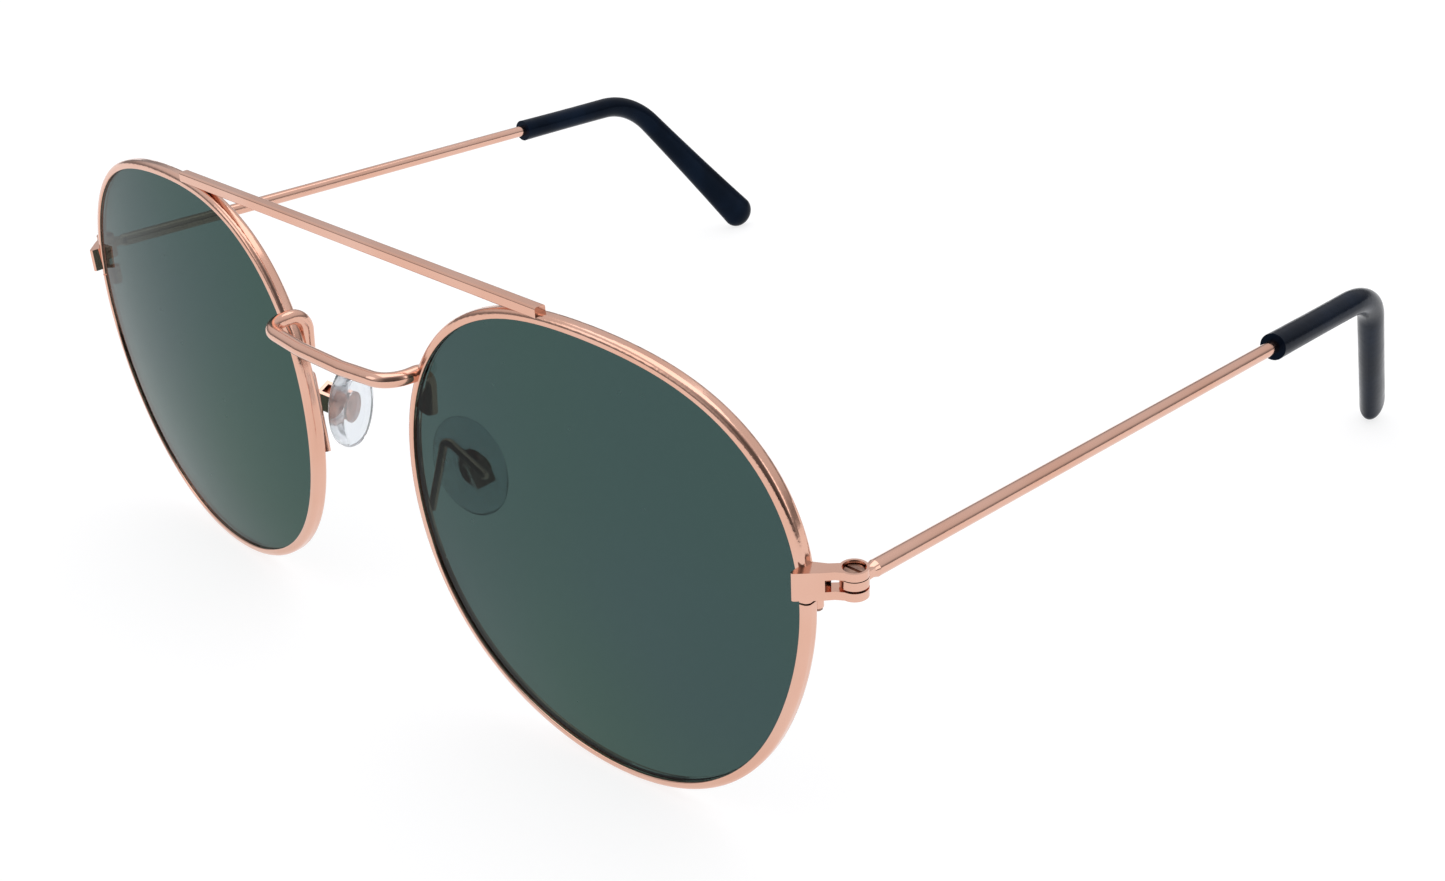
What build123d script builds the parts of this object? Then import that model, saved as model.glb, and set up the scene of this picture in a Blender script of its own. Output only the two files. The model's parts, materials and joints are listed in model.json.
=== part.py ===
"""Round double-bridge sunglasses in thin metal, standing open on a table.

Millimetres.  +X is the wearer's left, +Y runs back to the ears and +Z is up.
The origin is on the table, in the middle of the footprint with the temples open.
Pieces are made with the lens centres' front at Y = 0 and moved together at the end.
Every paired piece is built for the wearer's left and mirrored to the right.
"""
from build123d import *
import math
import os

# ---------------------------------------------------------------- driving sizes
LENS_RADIUS = 25.1          # mean half-width of the lens opening
LENS_SPACING = 70.6         # between lens centres
BASE_RADIUS = 160.0         # sphere that the lenses and rims follow
WRAP_ANGLE = 4.4            # turn of each lens round the face
HINGE_X = 64.0
HINGE_Y = 7.3
TEMPLE_PITCH = 3.2          # straight part falls towards the ear
TEMPLE_SPLAY = 1.1          # straight part opens outwards

# lens outline: round, with a flatter top and slightly squared corners
OUTLINE_WIDTH = 0.37
OUTLINE_PANTO = 0.65
OUTLINE_SQUARE = 0.38
OUTLINE_LEAN = 0.21
OUTLINE_POINTS = 48

# rim and lens sections
RIM_THICKNESS = 1.0
RIM_DEPTH = 1.75
RIM_ROUND = 0.6
LIP_ROUND = 0.14
GROOVE_DEPTH = 0.45
GROOVE_WIDTH = 0.7
GROOVE_FRONT = 0.45
LENS_GAP = 0.03
LENS_RECESS = 0.3
LENS_THICKNESS = 1.2
SPLIT_HEIGHT = 4.2          # above the lens centre
SPLIT_WIDTH = 0.2

# wires and bar
TEMPLE_WIRE = 1.65          # diameters
BRIDGE_WIRE = 1.65
PAD_WIRE = 0.9
BAR_WIDTH = 1.3
BAR_HEIGHT = 1.25
BAR_LENGTH = 61.4
BAR_Y = 2.2
BAR_SINK = 0.65             # how far the bar's saddles sit into the rims
BAR_ROUND = 0.28
BRIDGE_HALF_SPAN = 11.2
BRIDGE_TOP = 12.9           # above the lens centres
BRIDGE_FRONT_Y = -2.3
BRIDGE_BOW = 0.6
BRIDGE_HOOK_Y = 3.0
BRIDGE_SAG = 0.2
BRIDGE_HOOK_DROP = 5.0
BRIDGE_HOOK_LEAN = 0.45     # the hook's foot presses forwards onto the rim
BRIDGE_BEND_RADII = (1.9, 2.9, 6.0)    # over the hook, at the front corner, at the bow

# hinge stack, heights above the lens centre
PLATE_BOTTOM = 5.05
LOWER_LEAF_TOP = 5.90
KNUCKLE_BOTTOM = 6.15
KNUCKLE_TOP = 7.0
UPPER_LEAF_BOTTOM = 7.1
PLATE_TOP = 7.9
HINGE_RADIUS = 1.35
SCREW_RADIUS = 0.5
SCREW_HEAD_RADIUS = 1.0
SCREW_HEAD_HEIGHT = 0.4
RUNNING_CLEARANCE = 0.03
KNUCKLE_CLEARANCE = 0.25
NECK_START = 1.6            # from the hinge axis
NECK_END = 2.7
NECK_WIDTH = 1.3
NOTCH_FRONT = 4.2           # the slot's mouth, seen from the front
NOTCH_INNER = 62.7
SCREW_RECESS = 0.3
RECESS_GAP = 0.1
PLATE_ROUND = 0.25

# rim-closing barrels, behind the rim under the hinge
BARREL_RADIUS = 0.6
BARREL_X = 60.45
BARREL_Y = 6.4
BARREL_SINK = 0.3           # how far the barrel's foot sits into the rim
BARREL_TOP = 4.9
BARREL_BOTTOM = 2.8
CLOSING_SCREW_RADIUS = 0.35
CLOSING_HEAD_RADIUS = 0.5
CLOSING_HEAD_HEIGHT = 0.35

# temple tips
TIP_RADIUS = 1.6
TIP_MIDDLE_HALF_WIDTH = 1.8
PADDLE_HALF_WIDTH = 2.75
TIP_STRAIGHT = 24.0
TIP_START = 73.3            # from the hinge axis
TIP_BEND_RADIUS = 13.0
DROP_ANGLE = 50.0           # below level
DROP_INWARD = 16.0
CORE_END_GAP = 7.0

# nose pads
PAD_CENTRE = (11.1, 6.9, -0.4)   # from the lens centres' height
PAD_SPLAY = 70.0            # pad plane from the front plane
PAD_LEAN = 13.0             # tops closer together
PAD_TILT = 14.0             # long axis, top forwards
PAD_HALF_LENGTH = 5.9
PAD_HALF_WIDTH = 3.6
PAD_THICKNESS = 2.1
PAD_ROUND = 0.9
LUG_HALF_WIDTH = 1.5
LUG_HALF_LENGTH = 2.2
LUG_DEPTH = 0.5
LUG_THICKNESS = 0.9
LUG_RADIUS = 0.75
BOX_GAP = 1.3
BOX_WALL = 0.45
BOX_HEIGHT = 2.8
BOX_DEPTH = 2.0
BOX_STANDOFF = 0.35
EAR_GAP = 0.1               # between the box's mouth and the lug's round ear
PAD_SCREW_RADIUS = 0.35
PAD_SCREW_HEAD_RADIUS = 0.65
PAD_SCREW_HEAD = 0.35
ARM_FOOT = (9.95, 2.1, -3.9)     # from the lens centres' height
ARM_CREST = (12.3, 3.2, 5.0)
ARM_RUN_IN = 1.5
ARM_BEND_RADIUS = 0.55

SPREAD = 12.0               # cutting blocks reach well past what they cut


# ------------------------------------------------------------- shared geometry
def opening_radius(angle, offset=0.0):
    """Half-width of the lens opening, angle from the temple side towards the top."""
    width = OUTLINE_WIDTH * math.cos(2 * angle)
    panto = OUTLINE_PANTO * math.sin(3 * angle)
    square = -OUTLINE_SQUARE * math.cos(4 * angle)
    lean = OUTLINE_LEAN * math.sin(4 * angle)
    return LENS_RADIUS + width + panto + square + lean + offset


def lowest_point(offset):
    """Depth of the outline's lowest point under the lens centre."""
    angles = [math.radians(step / 2) for step in range(720)]
    return max(-opening_radius(a, offset) * math.sin(a) for a in angles)


LENS_HEIGHT = lowest_point(RIM_THICKNESS)
WRAP = math.radians(WRAP_ANGLE)
LENS_PLANE = Plane(
    origin=(LENS_SPACING / 2, 0, LENS_HEIGHT),
    x_dir=(math.cos(WRAP), math.sin(WRAP), 0),
    z_dir=(math.sin(WRAP), -math.cos(WRAP), 0),
)


def level(height):
    """Horizontal plane at a height above the lens centres."""
    return Plane.XY.offset(LENS_HEIGHT + height)


def outline_prism(offset):
    """Straight prism through the lens plane with the opening's outline, offset outwards."""
    angles = [2 * math.pi * step / OUTLINE_POINTS for step in range(OUTLINE_POINTS)]
    radii = [opening_radius(angle, offset) for angle in angles]
    points = [(r * math.cos(a), r * math.sin(a)) for r, a in zip(radii, angles)]
    with BuildPart() as prism:
        with BuildSketch(LENS_PLANE):
            with BuildLine():
                Spline(*points, periodic=True)
            make_face()
        extrude(amount=SPREAD, both=True)
    return prism.part


def curved_disc(offset, front, thickness, rounding=0.0):
    """Lens-shaped disc between two spheres of the base curve."""
    centre = LENS_PLANE.offset(-BASE_RADIUS).origin
    with BuildPart() as disc:
        add(outline_prism(offset))
        with Locations(centre):
            Sphere(BASE_RADIUS - front, mode=Mode.INTERSECT)
            Sphere(BASE_RADIUS - front - thickness, mode=Mode.SUBTRACT)
        if rounding:
            fillet(disc.edges().filter_by(lambda edge: edge.is_closed), rounding)
    return disc.part


def bent_wire(points, bend_radius, diameter):
    """Round wire along a polyline with rounded corners."""
    with BuildPart() as wire:
        with BuildLine() as path:
            FilletPolyline(*points, radius=bend_radius)
        with BuildSketch(Plane(path.line @ 0, z_dir=path.line % 0)):
            Circle(diameter / 2)
        sweep(path=path.line)
    return wire.part


RIM_BLANK = curved_disc(RIM_THICKNESS, 0, RIM_DEPTH, RIM_ROUND)


# --------------------------------------------------------------- rims and lenses
def make_rim():
    """Grooved metal rim, split at the temple side."""
    mid_length = 2 * math.pi * (LENS_RADIUS + RIM_THICKNESS / 2)
    with BuildPart() as rim:
        add(RIM_BLANK)
        add(outline_prism(0), mode=Mode.SUBTRACT)
        loops = rim.edges().filter_by(lambda edge: edge.is_closed)
        fillet([loop for loop in loops if loop.length < mid_length], LIP_ROUND)
        add(curved_disc(GROOVE_DEPTH, GROOVE_FRONT, GROOVE_WIDTH), mode=Mode.SUBTRACT)
        with Locations(LENS_PLANE * Location((LENS_RADIUS, SPLIT_HEIGHT, 0))):
            Box(SPREAD, SPLIT_WIDTH, 2 * SPREAD, mode=Mode.SUBTRACT)
    return rim.part


def make_lens():
    """Tinted lens with the edge tongue that sits in the rim's groove."""
    tongue_offset = GROOVE_DEPTH - LENS_GAP
    tongue_front = GROOVE_FRONT + LENS_GAP
    tongue_width = GROOVE_WIDTH - 2 * LENS_GAP
    with BuildPart() as lens:
        add(curved_disc(-LENS_GAP, LENS_RECESS, LENS_THICKNESS))
        add(curved_disc(tongue_offset, tongue_front, tongue_width))
    return lens.part


# ---------------------------------------------------------------- bar and bridge
def fitted_to_rim(blank):
    """A left-hand piece with the rim's shape cut out of it, so that it seats on the rim."""
    with BuildPart() as piece:
        add(blank)
        add(RIM_BLANK, mode=Mode.SUBTRACT)
    return piece.part


def whole(left_half):
    """A piece that crosses the middle, made from its left half."""
    with BuildPart() as piece:
        add(left_half)
        mirror(about=Plane.YZ)
    return piece.part


def make_top_bar():
    """Straight bar soldered along the tops of both rims."""
    rim_top = RIM_BLANK.bounding_box().max.Z
    half_length = BAR_LENGTH / 2
    with BuildPart() as bar:
        with Locations((half_length / 2, BAR_Y, rim_top - BAR_SINK + BAR_HEIGHT / 2)):
            Box(half_length, BAR_WIDTH, BAR_HEIGHT)
        fillet(bar.edges().filter_by(Axis.X), BAR_ROUND)
    return whole(fitted_to_rim(bar.part))


def make_bridge():
    """Round wire: a bowed front span, each end turned back past its rim and hooked down."""
    top = LENS_HEIGHT + BRIDGE_TOP
    bow_y = BRIDGE_FRONT_Y - BRIDGE_BOW
    left_half = [
        (BRIDGE_HALF_SPAN, BRIDGE_HOOK_Y - BRIDGE_HOOK_LEAN, top - BRIDGE_HOOK_DROP),
        (BRIDGE_HALF_SPAN, BRIDGE_HOOK_Y, top),
        (BRIDGE_HALF_SPAN, BRIDGE_FRONT_Y, top),
        (BRIDGE_HALF_SPAN / 3, bow_y, top - BRIDGE_SAG),
        (0, bow_y, top - BRIDGE_SAG),
    ]
    return whole(fitted_to_rim(bent_wire(left_half, BRIDGE_BEND_RADII, BRIDGE_WIRE)))


# ------------------------------------------------------------- endpiece and hinge
def make_endpiece():
    """Corner plate over the rim with the two hinge leaves behind it."""
    outline = [
        (HINGE_X - 3.7, 2.6),
        (HINGE_X - 1.4, 4.75),
        (HINGE_X - 0.7, 5.5),
        (HINGE_X + 0.6, 6.3),
        (HINGE_X, HINGE_Y),
        (HINGE_X - 1.3, 7.0),
        (HINGE_X - 2.1, 6.25),
        (HINGE_X - 3.7, 5.4),
    ]
    swing = HINGE_RADIUS + KNUCKLE_CLEARANCE
    with BuildPart() as endpiece:
        with BuildSketch(level(PLATE_BOTTOM)):
            with BuildLine():
                Polyline(*outline, close=True)
            make_face()
            with Locations((HINGE_X, HINGE_Y)):
                Circle(HINGE_RADIUS)
        extrude(amount=PLATE_TOP - PLATE_BOTTOM)
        fillet(endpiece.edges().filter_by(Axis.Z).group_by(Axis.Y)[0], PLATE_ROUND)
        with BuildSketch(level(LOWER_LEAF_TOP)):
            with Locations((HINGE_X, HINGE_Y)):
                Circle(swing)
            with Locations((NOTCH_INNER, NOTCH_FRONT)):
                Rectangle(SPREAD, HINGE_Y - NOTCH_FRONT, align=(Align.MIN, Align.MIN))
            with Locations((HINGE_X, HINGE_Y)):
                Rectangle(SPREAD, 2 * swing, align=(Align.MAX, Align.CENTER))
        extrude(amount=UPPER_LEAF_BOTTOM - LOWER_LEAF_TOP, mode=Mode.SUBTRACT)
        with Locations((HINGE_X, HINGE_Y, LENS_HEIGHT + PLATE_TOP)):
            CounterBoreHole(
                SCREW_RADIUS, SCREW_HEAD_RADIUS + RECESS_GAP, SCREW_RECESS + SCREW_HEAD_HEIGHT,
                depth=PLATE_TOP - PLATE_BOTTOM,
            )
        add(RIM_BLANK, mode=Mode.SUBTRACT)
    return endpiece.part


def make_screw(height, length, radius, head_radius, head_height):
    """Slotted screw standing head up, its shank ending `length` under the head's top."""
    with BuildPart() as screw:
        with BuildSketch(Plane.XY.offset(height - length)):
            Circle(radius)
        extrude(amount=length)
        with BuildSketch(Plane.XY.offset(height - head_height)):
            Circle(head_radius)
        extrude(amount=head_height)
        fillet(screw.edges().group_by(Axis.Z)[-1], head_height / 4)
        with Locations((0, 0, height)):
            Box(3 * head_radius, head_radius / 3, head_height, mode=Mode.SUBTRACT)
    return screw.part


def make_barrel(bottom, top):
    """Closing barrel soldered behind one end of the split rim."""
    foot_length = BARREL_RADIUS + BARREL_SINK
    with BuildPart() as barrel:
        with BuildSketch(level(bottom)):
            with Locations((BARREL_X, BARREL_Y)):
                Circle(BARREL_RADIUS)
            with Locations((BARREL_X, BARREL_Y - foot_length / 2)):
                Rectangle(BARREL_RADIUS, foot_length)
            with Locations((BARREL_X, BARREL_Y)):
                Circle(CLOSING_SCREW_RADIUS, mode=Mode.SUBTRACT)
        extrude(amount=top - bottom)
        add(RIM_BLANK, mode=Mode.SUBTRACT)
    return barrel.part


# --------------------------------------------------------------------- temples
def temple_direction(below_level, inward):
    """Unit direction of the temple, angles in degrees."""
    down = math.radians(below_level)
    turn = math.radians(inward)
    level_part = math.cos(down)
    return Vector(-level_part * math.sin(turn), level_part * math.cos(turn), -math.sin(down))


HINGE_POINT = Vector(HINGE_X, HINGE_Y, LENS_HEIGHT + (KNUCKLE_BOTTOM + KNUCKLE_TOP) / 2)
STRAIGHT = temple_direction(TEMPLE_PITCH, -TEMPLE_SPLAY)
DROP = temple_direction(DROP_ANGLE, DROP_INWARD)
TIP_MOUTH = HINGE_POINT + STRAIGHT * TIP_START
TIP_CORNER = TIP_MOUTH + STRAIGHT * TIP_STRAIGHT
DROP_LENGTH = (TIP_CORNER.Z - PADDLE_HALF_WIDTH) / math.sin(math.radians(DROP_ANGLE))
TIP_END = TIP_CORNER + DROP * DROP_LENGTH


def make_temple_leaf():
    """Hinge knuckle with a neck that swells to the size of the wire."""
    thickness = KNUCKLE_TOP - KNUCKLE_BOTTOM
    tang_length = (NECK_START + NECK_END) / 2
    with BuildPart() as leaf:
        with BuildSketch(level(KNUCKLE_BOTTOM)):
            with Locations((HINGE_X, HINGE_Y)):
                Circle(HINGE_RADIUS)
            with Locations((HINGE_X, HINGE_Y + tang_length / 2)):
                Rectangle(NECK_WIDTH, tang_length)
        extrude(amount=thickness)
        with BuildSketch(Plane(HINGE_POINT + STRAIGHT * NECK_START, z_dir=STRAIGHT)):
            Circle(thickness / 2)
        with BuildSketch(Plane(HINGE_POINT + STRAIGHT * NECK_END, z_dir=STRAIGHT)):
            Circle(TEMPLE_WIRE / 2)
        loft()
        with BuildSketch(level(KNUCKLE_BOTTOM)):
            with Locations((HINGE_X, HINGE_Y)):
                Circle(SCREW_RADIUS + RUNNING_CLEARANCE)
        extrude(amount=thickness, mode=Mode.SUBTRACT)
    return leaf.part


def make_temple_wire():
    """Straight temple wire and the core that it runs on inside the tip."""
    start = HINGE_POINT + STRAIGHT * NECK_END
    end = TIP_END - DROP * CORE_END_GAP
    return bent_wire([start, TIP_CORNER, end], TIP_BEND_RADIUS, TEMPLE_WIRE)


TEMPLE_WIRE_PART = make_temple_wire()
PADDLE_END = scale(Sphere(1), by=(TIP_RADIUS, PADDLE_HALF_WIDTH, PADDLE_HALF_WIDTH))


def make_tip():
    """Moulded tip: round over the wire, widening to a flat rounded paddle."""
    stations = ((0, TIP_RADIUS), (0.55, TIP_MIDDLE_HALF_WIDTH), (1, PADDLE_HALF_WIDTH))
    with BuildPart() as tip:
        with BuildLine() as path:
            FilletPolyline(TIP_MOUTH, TIP_CORNER, TIP_END, radius=TIP_BEND_RADIUS)
        sections = []
        for fraction, half_width in stations:
            direction = path.line % fraction
            side = direction.cross(Vector(0, 0, 1)).normalized()
            with BuildSketch(Plane(path.line @ fraction, x_dir=side, z_dir=direction)) as cut:
                Ellipse(TIP_RADIUS, half_width)
            sections.append(cut.sketch.face())
        sweep(sections=sections, path=path.line, multisection=True)
        add(Plane(TIP_END, x_dir=side, z_dir=direction) * PADDLE_END)
        add(TEMPLE_WIRE_PART, mode=Mode.SUBTRACT)
    return tip.part


# -------------------------------------------------------------------- nose pads
def make_pad_plane():
    """Plane through the pad's middle: Y up its long axis, Z towards the nose."""
    splay = math.radians(PAD_SPLAY)
    lean = math.radians(PAD_LEAN)
    tilt = math.radians(PAD_TILT)
    backwards = Vector(math.cos(splay), math.sin(splay), 0)
    nosewards = Vector(-math.sin(splay), math.cos(splay), 0)
    up = Vector(0, 0, 1) * math.cos(lean) + nosewards * math.sin(lean)
    normal = nosewards * math.cos(lean) - Vector(0, 0, 1) * math.sin(lean)
    long_axis = up * math.cos(tilt) - backwards * math.sin(tilt)
    x, y, height = PAD_CENTRE
    return Plane((x, y, LENS_HEIGHT + height), x_dir=long_axis.cross(normal), z_dir=normal)


PAD_PLANE = make_pad_plane()
PAD_BACK = -PAD_THICKNESS / 2
PIVOT_DEPTH = PAD_BACK - BOX_STANDOFF - LUG_RADIUS - EAR_GAP
BOX_FLOOR = PAD_BACK - BOX_STANDOFF - BOX_DEPTH
PIVOT_POINT = PAD_PLANE.from_local_coords((0, 0, PIVOT_DEPTH))
PIVOT_PLANE = Plane(PIVOT_POINT, x_dir=PAD_PLANE.z_dir, z_dir=PAD_PLANE.x_dir)


def make_nose_pad():
    """Clear oval cushion with a pocket for its metal lug."""
    with BuildPart() as pad:
        with BuildSketch(PAD_PLANE.offset(PAD_BACK)):
            Ellipse(PAD_HALF_WIDTH, PAD_HALF_LENGTH)
        extrude(amount=PAD_THICKNESS)
        fillet(pad.edges().filter_by(lambda edge: edge.is_closed), PAD_ROUND)
        with BuildSketch(PAD_PLANE.offset(PAD_BACK)):
            Ellipse(LUG_HALF_WIDTH, LUG_HALF_LENGTH)
        extrude(amount=LUG_DEPTH, mode=Mode.SUBTRACT)
    return pad.part


def make_pad_lug():
    """Metal lug: plate in the pad's back and an ear for the pad screw."""
    with BuildPart() as lug:
        with BuildSketch(PAD_PLANE.offset(PAD_BACK)):
            Ellipse(LUG_HALF_WIDTH, LUG_HALF_LENGTH)
        extrude(amount=LUG_DEPTH)
        with BuildSketch(PIVOT_PLANE.offset(-LUG_THICKNESS / 2)):
            Circle(LUG_RADIUS)
            neck = PAD_BACK - PIVOT_DEPTH
            with Locations((neck / 2, 0)):
                Rectangle(neck, 2 * LUG_RADIUS)
            Circle(PAD_SCREW_RADIUS + RUNNING_CLEARANCE, mode=Mode.SUBTRACT)
        extrude(amount=LUG_THICKNESS)
    return lug.part


def make_pad_box():
    """Open box on the end of the pad arm, bored for the pad screw."""
    outer_width = BOX_GAP + 2 * BOX_WALL
    mouth = PAD_BACK - BOX_STANDOFF
    with BuildPart() as box:
        with BuildSketch(PAD_PLANE.offset(BOX_FLOOR - BOX_WALL)):
            Rectangle(outer_width, BOX_HEIGHT)
        extrude(amount=mouth - BOX_FLOOR + BOX_WALL)
        with BuildSketch(PAD_PLANE.offset(BOX_FLOOR)):
            Rectangle(BOX_GAP, BOX_HEIGHT)
        extrude(amount=mouth - BOX_FLOOR, mode=Mode.SUBTRACT)
        with BuildSketch(PIVOT_PLANE.offset(-outer_width)):
            Circle(PAD_SCREW_RADIUS)
        extrude(amount=2 * outer_width, mode=Mode.SUBTRACT)
    return box.part


def make_pad_screw():
    """Pad screw across the box, head outside the rear cheek."""
    outer_width = BOX_GAP + 2 * BOX_WALL
    screw = make_screw(
        outer_width / 2 + PAD_SCREW_HEAD, outer_width + PAD_SCREW_HEAD,
        PAD_SCREW_RADIUS, PAD_SCREW_HEAD_RADIUS, PAD_SCREW_HEAD,
    )
    return Plane(PIVOT_POINT, z_dir=-PAD_PLANE.x_dir) * screw


def make_pad_arm():
    """Goose-neck wire from the back of the rim over to the pad box."""
    box_back = PAD_PLANE.from_local_coords((0, 0, BOX_FLOOR - BOX_WALL))
    behind_box = box_back - PAD_PLANE.z_dir * ARM_RUN_IN
    points = [
        (ARM_FOOT[0], ARM_FOOT[1], LENS_HEIGHT + ARM_FOOT[2]),
        (ARM_CREST[0], ARM_CREST[1], LENS_HEIGHT + ARM_CREST[2]),
        behind_box,
        box_back,
    ]
    return fitted_to_rim(bent_wire(points, ARM_BEND_RADIUS, PAD_WIRE))


# ------------------------------------------------------------------- every piece
def make_left_pieces():
    """The paired pieces, as the wearer's left side has them."""
    hinge_screw = make_screw(
        LENS_HEIGHT + PLATE_TOP - SCREW_RECESS, PLATE_TOP - PLATE_BOTTOM - SCREW_RECESS,
        SCREW_RADIUS, SCREW_HEAD_RADIUS, SCREW_HEAD_HEIGHT,
    )
    closing_screw = make_screw(
        0, BARREL_TOP - BARREL_BOTTOM + CLOSING_HEAD_HEIGHT,
        CLOSING_SCREW_RADIUS, CLOSING_HEAD_RADIUS, CLOSING_HEAD_HEIGHT,
    )
    head_seat = LENS_HEIGHT + BARREL_BOTTOM - CLOSING_HEAD_HEIGHT
    split_bottom = SPLIT_HEIGHT - SPLIT_WIDTH / 2
    split_top = SPLIT_HEIGHT + SPLIT_WIDTH / 2
    return {
        "rim": make_rim(),
        "lens": make_lens(),
        "endpiece": make_endpiece(),
        "upper_closing_barrel": make_barrel(split_top, BARREL_TOP),
        "lower_closing_barrel": make_barrel(BARREL_BOTTOM, split_bottom),
        "closing_screw": Plane((BARREL_X, BARREL_Y, head_seat), z_dir=(0, 0, -1)) * closing_screw,
        "hinge_screw": Location((HINGE_X, HINGE_Y, 0)) * hinge_screw,
        "temple_leaf": make_temple_leaf(),
        "temple_wire": TEMPLE_WIRE_PART,
        "temple_tip": make_tip(),
        "pad_arm": make_pad_arm(),
        "pad_box": make_pad_box(),
        "pad_screw": make_pad_screw(),
        "pad_lug": make_pad_lug(),
        "nose_pad": make_nose_pad(),
    }


def make_all_pieces():
    """Every piece by name, with the front at Y = 0."""
    pieces = {"top_bar": make_top_bar(), "bridge": make_bridge()}
    for name, left_piece in make_left_pieces().items():
        pieces[f"left_{name}"] = left_piece
        pieces[f"right_{name}"] = mirror(left_piece, about=Plane.YZ)
    return pieces


def save_centred(pieces):
    """Move the origin to the footprint's middle and write one STEP file per piece."""
    front = min(piece.bounding_box().min.Y for piece in pieces.values())
    back = max(piece.bounding_box().max.Y for piece in pieces.values())
    to_middle = Location((0, -(front + back) / 2, 0))
    for name, piece in pieces.items():
        moved = to_middle * piece
        moved.label = name
        export_step(moved, f"parts/{name}.step")


os.makedirs("parts", exist_ok=True)
save_centred(make_all_pieces())
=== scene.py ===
"""Looks of the round double-bridge sunglasses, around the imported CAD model.

Metres, in the frame of the CAD: +X is the wearer's left, +Y runs back to the ears, +Z is up.
Every CAD node keeps its own mesh.  This script gives each one a procedural material by the
part's material slot, and adds a floor, a soft studio and the camera.
"""
import json
import math
import bpy
from mathutils import Matrix, Vector


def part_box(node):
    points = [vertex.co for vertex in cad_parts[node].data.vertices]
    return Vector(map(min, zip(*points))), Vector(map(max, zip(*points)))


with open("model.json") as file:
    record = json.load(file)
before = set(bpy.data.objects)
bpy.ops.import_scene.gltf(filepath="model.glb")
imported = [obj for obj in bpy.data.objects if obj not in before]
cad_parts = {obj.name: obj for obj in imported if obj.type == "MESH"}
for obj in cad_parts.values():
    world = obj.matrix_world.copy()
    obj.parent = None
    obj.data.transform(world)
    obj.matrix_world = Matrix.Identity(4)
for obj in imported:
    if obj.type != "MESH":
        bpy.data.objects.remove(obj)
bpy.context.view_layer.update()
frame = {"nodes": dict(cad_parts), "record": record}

NODES = frame["nodes"]

# camera: round a point up and outside of the near lens's front centre
CAMERA_AZIMUTH = 44.6
CAMERA_ELEVATION = 28.15
CAMERA_ROLL = -2.6
CAMERA_DISTANCE = 0.1467
CAMERA_LENS = 43.6
CAMERA_SENSOR = 36.0
AIM_FROM_LENS = (0.0208, 0.0, 0.0214)

# colours are linear
ROSE_GOLD = (0.73, 0.42, 0.315, 1)
ROSE_GOLD_PALE = (0.76, 0.47, 0.37, 1)
SCREW_METAL = (0.46, 0.28, 0.21, 1)
SCREW_METAL_DARK = (0.24, 0.14, 0.11, 1)
LENS_GREEN = (0.046, 0.092, 0.076, 1)
LENS_GREY = (0.048, 0.086, 0.084, 1)
LENS_SHADOW = (0.2, 0.3, 0.28, 1)
TIP_BLACK = (0.003, 0.005, 0.010, 1)
TIP_BLUE = (0.005, 0.010, 0.022, 1)
TIP_GLOSS = (0.30, 0.55, 1.0, 1)
PAD_CLEAR = (0.93, 0.96, 0.99, 1)
PAD_CLOUD = (0.84, 0.89, 0.95, 1)
# all below the real materials' 1.4 to 1.5, chosen to keep the glare faint
LENS_IOR = 1.14
TIP_IOR = 1.18
PAD_IOR = 1.36

FLOOR_TONE = (0.27, 0.27, 0.275, 1)
FLOOR_GLOW = 0.79           # paper lit from below, so that shadows stay faint

# the studio's dark corner, where the photographer stands
DARK_CORNER = (0.62, -0.63, 0.47)
DARK_CORNER_EDGE = (0.62, 0.94)     # cosines of its soft edge
DARK_CORNER_LEVEL = 0.18
# brightness of the room from straight down (0) past the horizon (0.5) to straight up (1)
ROOM_LEVELS = ((0.0, 0.9), (0.5, 0.30), (0.56, 0.24), (0.68, 0.72), (1.0, 0.9))
BLUE_CAST = 1.02
FLOOR_HALF_WIDTH = 6.0

# depth of surface relief
FINE_RELIEF = 0.00001
PAPER_RELIEF = 0.00002
SOFT_RELIEF = 0.00004

# a Mix node has one set of sockets for each data type; these are the colour ones
MIX_FIRST = 6
MIX_SECOND = 7
MIX_RESULT = 2


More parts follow.
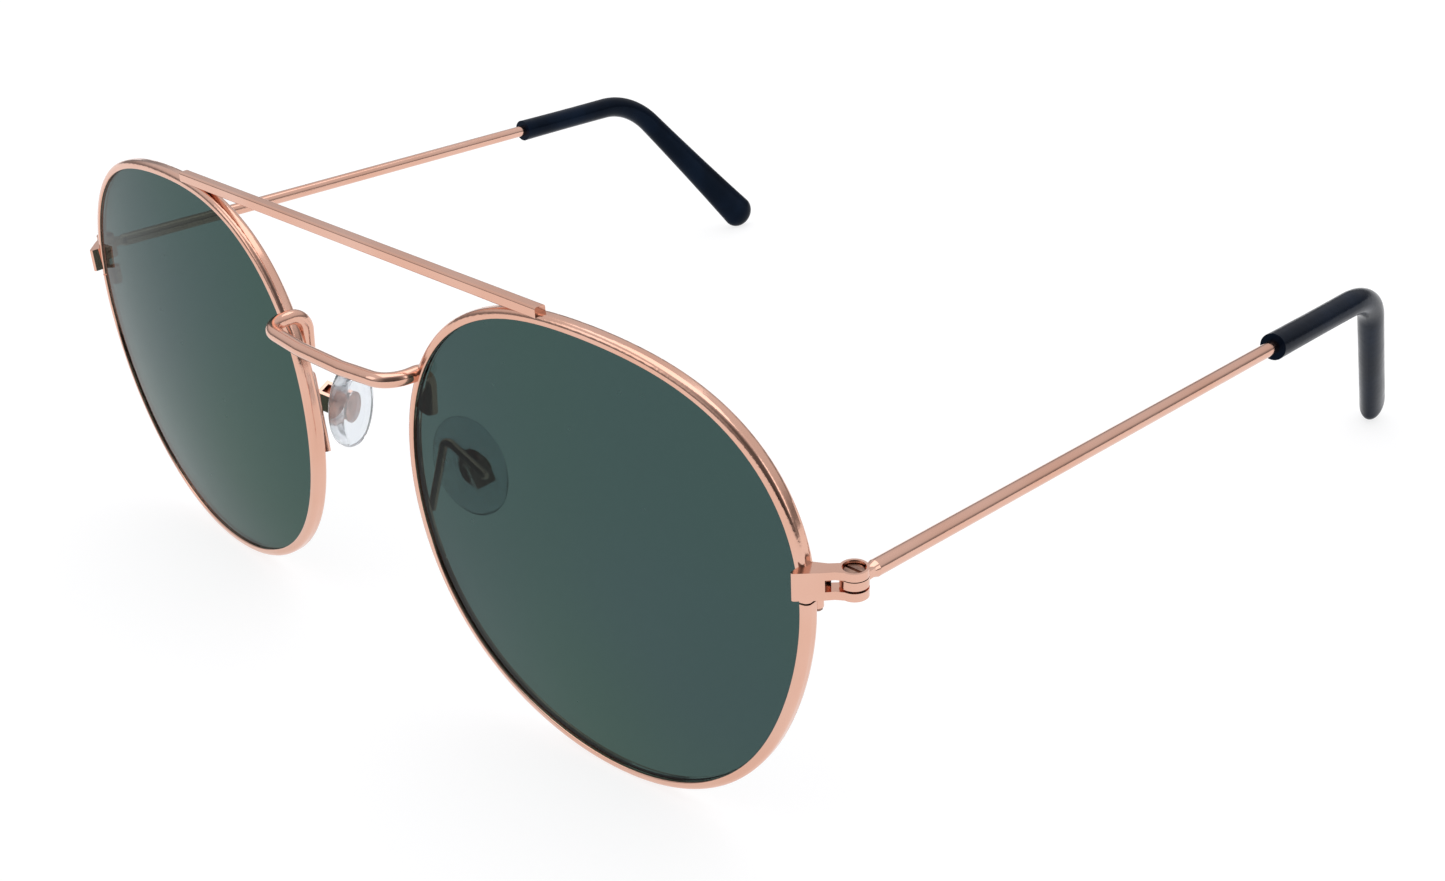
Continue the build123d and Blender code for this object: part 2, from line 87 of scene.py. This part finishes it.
# --------------------------------------------------------------------- node tools
class Nodes:
    """A material's node tree, with short ways to add and join its nodes."""

    def __init__(self, name):
        self.material = bpy.data.materials.new(name)
        self.material.use_nodes = True
        self.tree = self.material.node_tree
        self.tree.nodes.clear()
        self.output = self.tree.nodes.new("ShaderNodeOutputMaterial")
        self.place = self.tree.nodes.new("ShaderNodeTexCoord").outputs["Object"]

    def add(self, kind, **settings):
        node = self.tree.nodes.new(kind)
        for key, value in settings.items():
            setattr(node, key, value)
        return node

    def join(self, source, target):
        self.tree.links.new(source, target)

    def principled(self, **values):
        shader = self.add("ShaderNodeBsdfPrincipled")
        for key, value in values.items():
            shader.inputs[key.replace("_", " ")].default_value = value
        return shader

    def stretched(self, scale):
        mapping = self.add("ShaderNodeMapping")
        mapping.inputs["Scale"].default_value = scale
        self.join(self.place, mapping.inputs["Vector"])
        return mapping.outputs["Vector"]

    def noise(self, scale, detail=3.0, place=None):
        texture = self.add("ShaderNodeTexNoise")
        texture.inputs["Scale"].default_value = scale
        texture.inputs["Detail"].default_value = detail
        self.join(place or self.place, texture.inputs["Vector"])
        return texture.outputs["Fac"]

    def remap(self, value, span, result):
        node = self.add("ShaderNodeMapRange")
        self.join(value, node.inputs["Value"])
        node.inputs["From Min"].default_value = span[0]
        node.inputs["From Max"].default_value = span[1]
        node.inputs["To Min"].default_value = result[0]
        node.inputs["To Max"].default_value = result[1]
        return node.outputs["Result"]

    def blend(self, factor, first, second):
        node = self.add("ShaderNodeMix", data_type="RGBA")
        self.join(factor, node.inputs["Factor"])
        node.inputs[MIX_FIRST].default_value = first
        node.inputs[MIX_SECOND].default_value = second
        return node.outputs[MIX_RESULT]

    def bump(self, target, height, distance, strength):
        node = self.add("ShaderNodeBump")
        node.inputs["Distance"].default_value = distance
        node.inputs["Strength"].default_value = strength
        self.join(height, node.inputs["Height"])
        self.join(node.outputs["Normal"], target)

    def finish(self, shader):
        self.join(shader, self.output.inputs["Surface"])
        return self.material


# ---------------------------------------------------------------------- materials
def rose_gold():
    """Polished plating: slow change of tone, a little haze and hairline scratches."""
    n = Nodes("rose_gold_plating")
    shader = n.principled(Metallic=1.0, IOR=1.5)
    tone = n.remap(n.noise(scale=90, detail=2), span=(0.35, 0.65), result=(0, 1))
    n.join(n.blend(tone, ROSE_GOLD, ROSE_GOLD_PALE), shader.inputs["Base Color"])
    haze = n.remap(n.noise(scale=700, detail=5), span=(0.3, 0.7), result=(0.09, 0.17))
    n.join(haze, shader.inputs["Roughness"])
    relief = n.noise(scale=1, detail=6, place=n.stretched((9000, 700, 9000)))
    n.bump(shader.inputs["Normal"], relief, distance=FINE_RELIEF, strength=0.25)
    return n.finish(shader.outputs["BSDF"])


def screw_metal():
    """Screw metal: darker and duller than the plating, grainy, with grime in its tone."""
    n = Nodes("screw_metal")
    shader = n.principled(Metallic=1.0)
    tone = n.remap(n.noise(scale=1500, detail=4), span=(0.35, 0.7), result=(0, 1))
    n.join(n.blend(tone, SCREW_METAL, SCREW_METAL_DARK), shader.inputs["Base Color"])
    haze = n.remap(n.noise(scale=2500, detail=4), span=(0.3, 0.7), result=(0.18, 0.38))
    n.join(haze, shader.inputs["Roughness"])
    relief = n.noise(scale=6000, detail=3)
    n.bump(shader.inputs["Normal"], relief, distance=FINE_RELIEF, strength=0.4)
    return n.finish(shader.outputs["BSDF"])


def tinted_lens():
    """Dark green glass, a little greyer in places, with specks of dust."""
    n = Nodes("tinted_lens")
    shader = n.principled(Transmission_Weight=1.0, IOR=LENS_IOR)
    tone = n.remap(n.noise(scale=25, detail=1), span=(0.35, 0.65), result=(0, 1))
    n.join(n.blend(tone, LENS_GREEN, LENS_GREY), shader.inputs["Base Color"])
    specks = n.add("ShaderNodeTexVoronoi")
    specks.inputs["Scale"].default_value = 260
    n.join(n.place, specks.inputs["Vector"])
    haze = n.remap(specks.outputs["Distance"], span=(0.03, 0.06), result=(0.35, 0.0))
    n.join(haze, shader.inputs["Roughness"])
    lamps = n.add("ShaderNodeLightPath")
    through = n.add("ShaderNodeBsdfTransparent")
    through.inputs["Color"].default_value = LENS_SHADOW
    mix = n.add("ShaderNodeMixShader")
    n.join(lamps.outputs["Is Shadow Ray"], mix.inputs["Fac"])
    n.join(shader.outputs["BSDF"], mix.inputs[1])
    n.join(through.outputs["BSDF"], mix.inputs[2])
    return n.finish(mix.outputs["Shader"])


def black_tip():
    """Glossy black moulding with a faint orange-peel surface and rubbed patches."""
    n = Nodes("black_tip")
    shader = n.principled(IOR=TIP_IOR, Specular_Tint=TIP_GLOSS)
    tone = n.remap(n.noise(scale=160, detail=3), span=(0.4, 0.7), result=(0, 1))
    n.join(n.blend(tone, TIP_BLACK, TIP_BLUE), shader.inputs["Base Color"])
    haze = n.remap(n.noise(scale=420, detail=5), span=(0.3, 0.7), result=(0.14, 0.26))
    n.join(haze, shader.inputs["Roughness"])
    relief = n.noise(scale=1400, detail=2)
    n.bump(shader.inputs["Normal"], relief, distance=SOFT_RELIEF, strength=0.3)
    return n.finish(shader.outputs["BSDF"])


def clear_pad():
    """Soft plastic, clear but milky."""
    n = Nodes("clear_pad")
    shader = n.principled(Transmission_Weight=0.85, IOR=PAD_IOR)
    tone = n.remap(n.noise(scale=300, detail=3), span=(0.35, 0.7), result=(0, 1))
    n.join(n.blend(tone, PAD_CLEAR, PAD_CLOUD), shader.inputs["Base Color"])
    haze = n.remap(n.noise(scale=900, detail=4), span=(0.3, 0.7), result=(0.04, 0.16))
    n.join(haze, shader.inputs["Roughness"])
    relief = n.noise(scale=1100, detail=2)
    n.bump(shader.inputs["Normal"], relief, distance=SOFT_RELIEF, strength=0.25)
    return n.finish(shader.outputs["BSDF"])


def pale_floor():
    """Plain pale paper, glowing a little."""
    n = Nodes("pale_floor")
    shader = n.principled(Roughness=0.8, Base_Color=FLOOR_TONE, Emission_Strength=FLOOR_GLOW)
    shader.inputs["Emission Color"].default_value = (1, 1, 1, 1)
    shader.inputs["Specular IOR Level"].default_value = 0.2
    relief = n.noise(scale=900, detail=3)
    n.bump(shader.inputs["Normal"], relief, distance=PAPER_RELIEF, strength=0.2)
    return n.finish(shader.outputs["BSDF"])


def dress_the_frame():
    """Every CAD node takes its own slot's material."""
    makers = {
        "rose_gold": rose_gold,
        "screw": screw_metal,
        "lens": tinted_lens,
        "tip": black_tip,
        "pad": clear_pad,
    }
    made = {slot: maker() for slot, maker in makers.items()}
    for row in frame["record"]["subparts"]:
        mesh = NODES[row["node"]].data
        mesh.materials.clear()
        mesh.materials.append(made[row["material_slot"]])


# -------------------------------------------------------------------------- studio
def make_floor():
    """Wide flat floor at the height the glasses stand on."""
    half = FLOOR_HALF_WIDTH
    mesh = bpy.data.meshes.new("floor")
    corners = [(-half, -half, 0), (half, -half, 0), (half, half, 0), (-half, half, 0)]
    mesh.from_pydata(corners, [], [(0, 1, 2, 3)])
    mesh.materials.append(pale_floor())
    floor = bpy.data.objects.new("floor", mesh)
    bpy.context.scene.collection.objects.link(floor)


def make_world():
    """Bright room with a darker horizon and corner, which draw lines along the metal."""
    world = bpy.data.worlds.new("studio")
    world.use_nodes = True
    bpy.context.scene.world = world
    tree = world.node_tree
    tree.nodes.clear()
    place = tree.nodes.new("ShaderNodeTexCoord")
    split = tree.nodes.new("ShaderNodeSeparateXYZ")
    ramp = tree.nodes.new("ShaderNodeValToRGB")
    height = tree.nodes.new("ShaderNodeMapRange")
    height.inputs["From Min"].default_value = -1
    while len(ramp.color_ramp.elements) < len(ROOM_LEVELS):
        ramp.color_ramp.elements.new(0.5)
    for element, (position, level) in zip(ramp.color_ramp.elements, ROOM_LEVELS):
        element.position = position
        element.color = (level, level, level * BLUE_CAST, 1)
    towards_corner = tree.nodes.new("ShaderNodeVectorMath")
    towards_corner.operation = "DOT_PRODUCT"
    towards_corner.inputs[1].default_value = DARK_CORNER
    corner = tree.nodes.new("ShaderNodeMapRange")
    corner.inputs["From Min"].default_value = DARK_CORNER_EDGE[0]
    corner.inputs["From Max"].default_value = DARK_CORNER_EDGE[1]
    corner.inputs["To Min"].default_value = 1.0
    corner.inputs["To Max"].default_value = DARK_CORNER_LEVEL
    room = tree.nodes.new("ShaderNodeBackground")
    backdrop = tree.nodes.new("ShaderNodeBackground")
    backdrop.inputs["Color"].default_value = (1, 1, 1, 1)
    seen = tree.nodes.new("ShaderNodeLightPath")
    mix = tree.nodes.new("ShaderNodeMixShader")
    output = tree.nodes.new("ShaderNodeOutputWorld")
    for source, target in (
        (place.outputs["Generated"], split.inputs["Vector"]),
        (split.outputs["Z"], height.inputs["Value"]),
        (height.outputs["Result"], ramp.inputs["Fac"]),
        (ramp.outputs["Color"], room.inputs["Color"]),
        (place.outputs["Generated"], towards_corner.inputs[0]),
        (towards_corner.outputs["Value"], corner.inputs["Value"]),
        (corner.outputs["Result"], room.inputs["Strength"]),
        (seen.outputs["Is Camera Ray"], mix.inputs["Fac"]),
        (room.outputs["Background"], mix.inputs[1]),
        (backdrop.outputs["Background"], mix.inputs[2]),
        (mix.outputs["Shader"], output.inputs["Surface"]),
    ):
        tree.links.new(source, target)


def make_softbox(name, position, aim, width, height, power):
    """Rectangular soft light turned towards aim."""
    light = bpy.data.lights.new(name, "AREA")
    light.shape = "RECTANGLE"
    light.size = width
    light.size_y = height
    light.energy = power
    lamp = bpy.data.objects.new(name, light)
    lamp.location = position
    lamp.rotation_mode = "QUATERNION"
    lamp.rotation_quaternion = (Vector(aim) - Vector(position)).to_track_quat("-Z", "Y")
    bpy.context.scene.collection.objects.link(lamp)


def make_lights():
    """Big overhead softbox, with a weak one at the wearer's left and another in front."""
    middle = (0, 0, 0.02)
    make_softbox("overhead", (-0.1, 0.1, 1.2), middle, width=1.2, height=1.2, power=4.2)
    make_softbox("side", (1.1, 0.1, 0.6), middle, width=0.4, height=0.7, power=0.9)
    make_softbox("front", (-0.6, -1.1, 0.7), middle, width=0.6, height=0.6, power=0.9)


def make_camera():
    """Camera at the three-quarter front view, from the wearer's left and above."""
    low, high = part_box("left_lens")
    front_centre = Vector(((low.x + high.x) / 2, low.y, (low.z + high.z) / 2))
    aim = front_centre + Vector(AIM_FROM_LENS)
    turn = math.radians(CAMERA_AZIMUTH)
    rise = math.radians(CAMERA_ELEVATION)
    level = math.cos(rise)
    back = Vector((math.sin(turn) * level, -math.cos(turn) * level, math.sin(rise)))
    data = bpy.data.cameras.new("camera")
    data.lens = CAMERA_LENS
    data.sensor_width = CAMERA_SENSOR
    data.clip_start = 0.01
    camera = bpy.data.objects.new("camera", data)
    upright = back.to_track_quat("Z", "Y").to_matrix()
    roll = Matrix.Rotation(math.radians(CAMERA_ROLL), 3, "Z")
    camera.matrix_world = (upright @ roll).to_4x4()
    camera.location = aim + back * CAMERA_DISTANCE
    bpy.context.scene.collection.objects.link(camera)
    bpy.context.scene.camera = camera


bpy.context.scene.view_settings.view_transform = "Standard"
make_camera()
dress_the_frame()
make_floor()
make_world()
make_lights()
